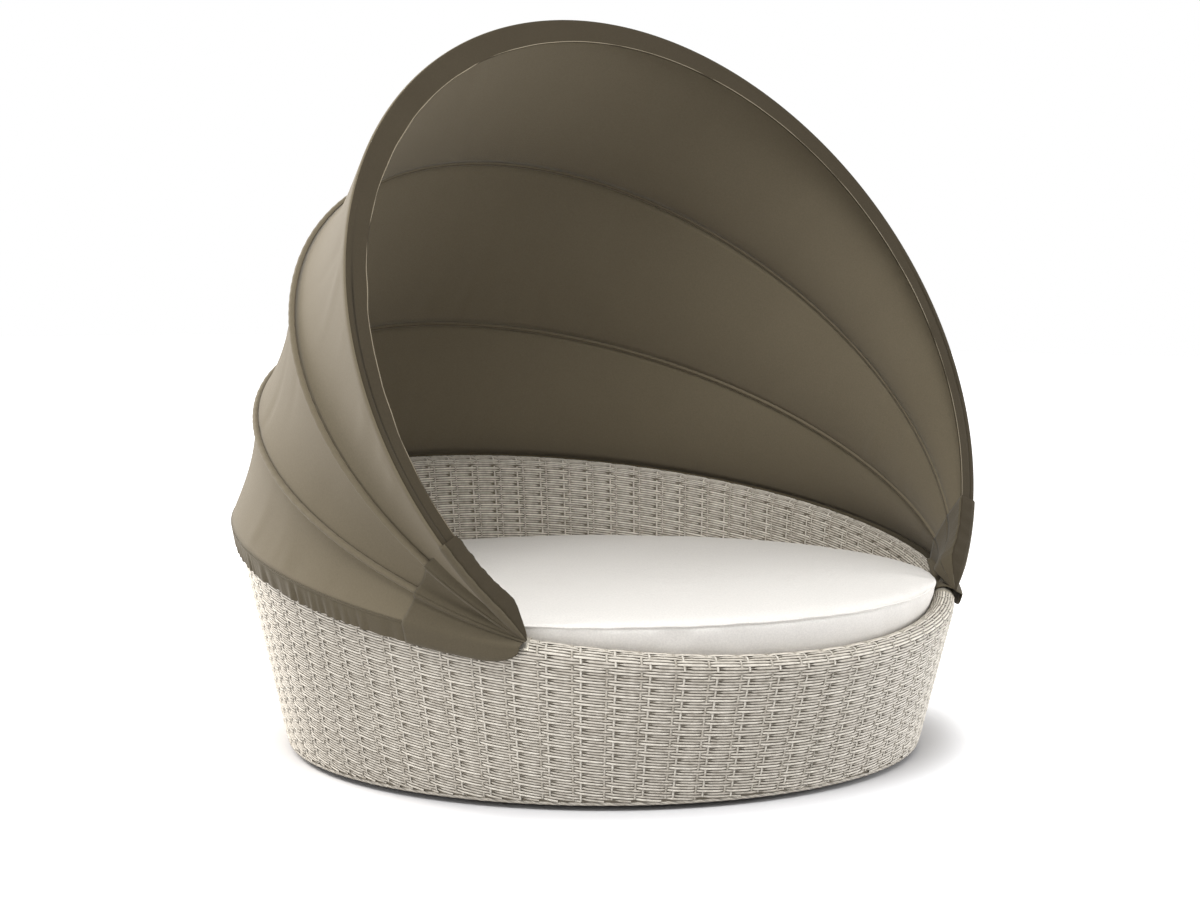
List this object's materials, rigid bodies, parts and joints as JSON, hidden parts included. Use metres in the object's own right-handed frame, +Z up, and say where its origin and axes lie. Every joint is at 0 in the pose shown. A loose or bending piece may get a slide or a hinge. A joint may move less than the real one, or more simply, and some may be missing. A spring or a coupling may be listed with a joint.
{
  "type": "round outdoor daybed with canopy",
  "caption": "Round woven outdoor daybed on a turntable, with a thick round mattress and a folding fabric canopy on curved bows that tilts back over the rim.",
  "frame": {"origin": "centre of the underside of the middle foot, on the floor and on the turntable axis", "axes": "+Z up, +Y to the back where the rim is highest, -Y to the open front, +X to the right when seen from the front"},
  "size_m": [1.7954, 1.741, 1.7533],
  "materials": {
    "weave": "flat woven resin strand, light beige grey with a satin sheen",
    "coated_frame": "powder coat over welded tube and plate",
    "plated_steel": "zinc plated",
    "deck_board": "weatherproof board, stained",
    "mattress_cover": "off-white woven outdoor cover with welted seams",
    "canopy_cloth": "taupe woven canopy cloth, matt",
    "foot_rubber": "moulded, matt",
    "acetal": "low-friction plastic, plain"
  },
  "bodies": {
    "floor_base": {"floor_ring": "coated_frame", "middle_foot": "foot_rubber", "glider_1": "foot_rubber", "glider_2": "foot_rubber", "glider_3": "foot_rubber", "glider_4": "foot_rubber", "glider_5": "foot_rubber", "glider_6": "foot_rubber", "lower_race": "plated_steel", "slide_ring": "acetal", "pivot_pin": "plated_steel"},
    "drum": {"upper_race": "plated_steel", "chassis": "coated_frame", "base_hoop": "coated_frame", "seat_hoop": "coated_frame", "rim_hoop": "coated_frame", "stay_1": "coated_frame", "stay_2": "coated_frame", "stay_3": "coated_frame", "stay_4": "coated_frame", "stay_5": "coated_frame", "stay_6": "coated_frame", "stay_7": "coated_frame", "stay_8": "coated_frame", "deck_beam_1": "coated_frame", "deck_beam_2": "coated_frame", "deck_beam_3": "coated_frame", "seat_deck": "deck_board", "woven_wall": "weave", "mattress": "mattress_cover", "rim_bracket_right": "coated_frame", "rim_bracket_left": "coated_frame", "rear_hinge_bolt_right": "plated_steel", "rear_hinge_nut_right": "plated_steel", "rear_hinge_washer_right": "acetal", "rear_hinge_bolt_left": "plated_steel", "rear_hinge_nut_left": "plated_steel", "rear_hinge_washer_left": "acetal", "gusset_right": "canopy_cloth", "gusset_left": "canopy_cloth", "hem_band": "canopy_cloth"},
    "rear_bow": {"rear_bow": "coated_frame", "rear_panel": "canopy_cloth", "middle_hinge_bolt_right": "plated_steel", "middle_hinge_nut_right": "plated_steel", "middle_hinge_washer_right": "acetal", "middle_hinge_bolt_left": "plated_steel", "middle_hinge_nut_left": "plated_steel", "middle_hinge_washer_left": "acetal"},
    "middle_bow": {"middle_bow": "coated_frame", "middle_panel": "canopy_cloth", "front_hinge_bolt_right": "plated_steel", "front_hinge_nut_right": "plated_steel", "front_hinge_washer_right": "acetal", "front_hinge_bolt_left": "plated_steel", "front_hinge_nut_left": "plated_steel", "front_hinge_washer_left": "acetal"},
    "front_bow": {"front_bow": "coated_frame", "front_panel": "canopy_cloth", "front_facing": "canopy_cloth"}
  },
  "joints": [
    {"name": "turntable", "type": "hinge", "parent": "floor_base", "child": "drum", "pos_m": [0, 0, 0.04], "axis": [0, 0, 1], "continuous": true},
    {"name": "rear_bow_hinge", "type": "hinge", "parent": "drum", "child": "rear_bow", "pos_m": [0, -0.5357, 0.39758], "axis": [1, 0, 0], "range_deg": [-11, 0], "deforming": ["rear_panel", "gusset_right", "gusset_left"]},
    {"name": "middle_bow_hinge", "type": "hinge", "parent": "rear_bow", "child": "middle_bow", "pos_m": [0, -0.54673, 0.41353], "axis": [1, 0, 0], "range_deg": [-18.5, 0], "deforming": ["middle_panel"]},
    {"name": "front_bow_hinge", "type": "hinge", "parent": "middle_bow", "child": "front_bow", "pos_m": [0, -0.56297, 0.42511], "axis": [1, 0, 0], "range_deg": [-19, 0], "deforming": ["front_panel"]}
  ]
}
